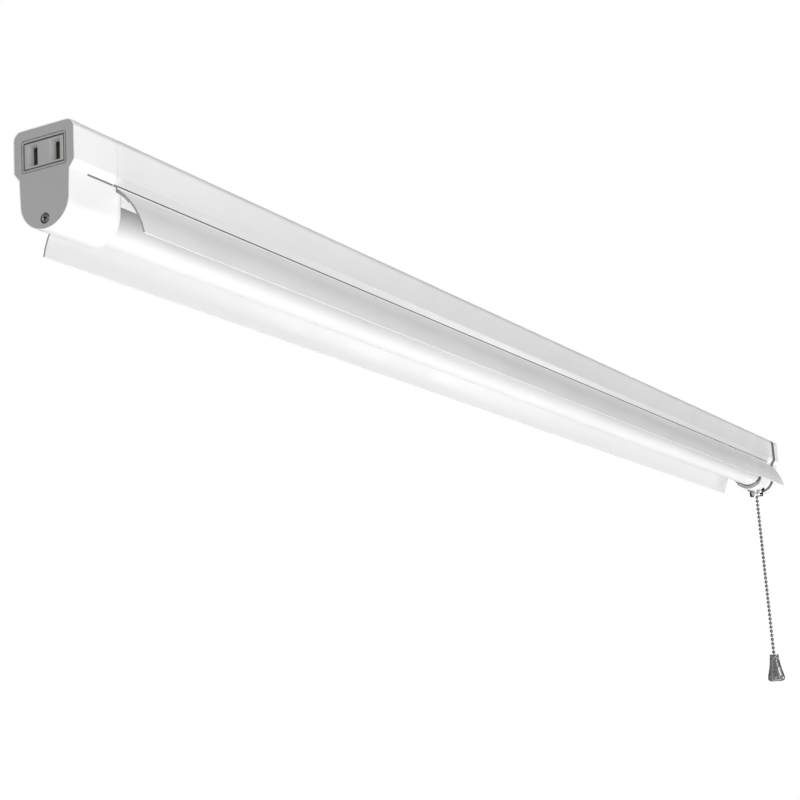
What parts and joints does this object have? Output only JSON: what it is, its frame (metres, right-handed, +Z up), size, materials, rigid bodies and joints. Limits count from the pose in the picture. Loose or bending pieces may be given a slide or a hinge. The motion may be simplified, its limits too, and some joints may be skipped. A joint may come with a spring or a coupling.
{
  "type": "hanging shop light",
  "caption": "Slim hanging shop light with a half-round lens between curved wings, an end outlet and a pull-chain switch.",
  "frame": {"origin": "middle of the housing's top face, between the two hanging slots", "axes": "+X along the light toward the pull chain, +Z up, -Y toward the side that the picture shows"},
  "size_m": [1.071, 0.059, 0.228],
  "materials": {
    "white_paint": "satin",
    "white_plastic": "satin",
    "grey_plastic": "satin",
    "steel": "satin",
    "brass": "satin",
    "opal_lens": "diffuse",
    "board_white": "satin",
    "chip_yellow": "gloss",
    "ivory_nylon": "satin",
    "dark_plastic": "satin",
    "board_green": "satin",
    "capacitor_blue": "gloss",
    "wire_white": "satin",
    "wire_black": "satin",
    "wire_red": "satin",
    "black_rubber": "matte",
    "brown_plastic": "satin",
    "chrome": "polished",
    "smoky_clear": "polished"
  },
  "bodies": {
    "light": {"housing_channel": "white_paint", "near_shroud": "white_plastic", "near_plate": "grey_plastic", "near_screw": "steel", "outlet_insert": "grey_plastic", "outlet_contacts": "brass", "reflector": "white_plastic", "reflector_screws": "steel", "lens": "opal_lens", "led_board_near": "board_white", "led_board_far": "board_white", "led_chips_near": "chip_yellow", "led_chips_far": "chip_yellow", "board_link": "ivory_nylon", "board_screws": "steel", "far_shroud": "white_plastic", "far_band": "grey_plastic", "far_cap": "white_plastic", "cap_screws": "steel", "cord_gland": "white_plastic", "driver_tray": "dark_plastic", "driver_board": "board_green", "driver_transformer": "dark_plastic", "driver_capacitors": "capacitor_blue", "driver_chips": "dark_plastic", "driver_screws": "steel", "terminal_block": "ivory_nylon", "outlet_wires": "wire_white", "wire_clips": "ivory_nylon", "driver_wires": "wire_black", "led_leads": "wire_red", "lead_grommet": "black_rubber", "supply_leads": "wire_black", "switch_leads": "wire_black", "switch_case": "dark_plastic", "switch_cover": "grey_plastic", "switch_pin": "steel", "switch_contacts": "brass", "switch_spring": "steel", "saddle_washer": "chrome", "bell_mouth": "chrome"},
    "puller": {"pull_link": "steel"},
    "lead_bead": {"chain_bead": "chrome"},
    "chain": {"ball_chain": "chrome", "chain_stop": "chrome"},
    "knob": {"pull_knob": "smoky_clear"},
    "lever": {"switch_lever": "ivory_nylon"},
    "drum": {"switch_drum": "brown_plastic"}
  },
  "joints": [
    {"name": "chain_pull", "type": "slide", "parent": "light", "child": "puller", "axis": [0, 0, -1], "range_m": [0, 0.006], "stiffness_N_per_m": 400, "springref_m": -0.002, "deforming": ["switch_spring"]},
    {"name": "lever_turn", "type": "hinge", "parent": "light", "child": "lever", "pos_m": [0.5138, 0, -0.032], "axis": [0, -1, 0], "range_deg": [0, 54.97]},
    {"name": "drum_turn", "type": "hinge", "parent": "light", "child": "drum", "pos_m": [0.5138, 0.0028, -0.032], "axis": [0, -1, 0], "range_deg": [0, 54.97]},
    {"name": "chain_swing_along", "type": "hinge", "parent": "puller", "child": "lead_bead", "pos_m": [0.5073, 0, -0.051], "axis": [0, 1, 0], "range_deg": [-25, 25]},
    {"name": "chain_swing_across", "type": "hinge", "parent": "lead_bead", "child": "chain", "pos_m": [0.5073, 0, -0.051], "axis": [1, 0, 0], "range_deg": [-25, 25]},
    {"name": "knob_swivel", "type": "hinge", "parent": "chain", "child": "knob", "pos_m": [0.5073, 0, -0.2155], "axis": [0, 0, 1], "continuous": true}
  ],
  "couplings": [
    {"joint": "lever_turn", "follows": "chain_pull", "rad_per_m": 159.9},
    {"joint": "drum_turn", "follows": "chain_pull", "rad_per_m": 159.9}
  ]
}
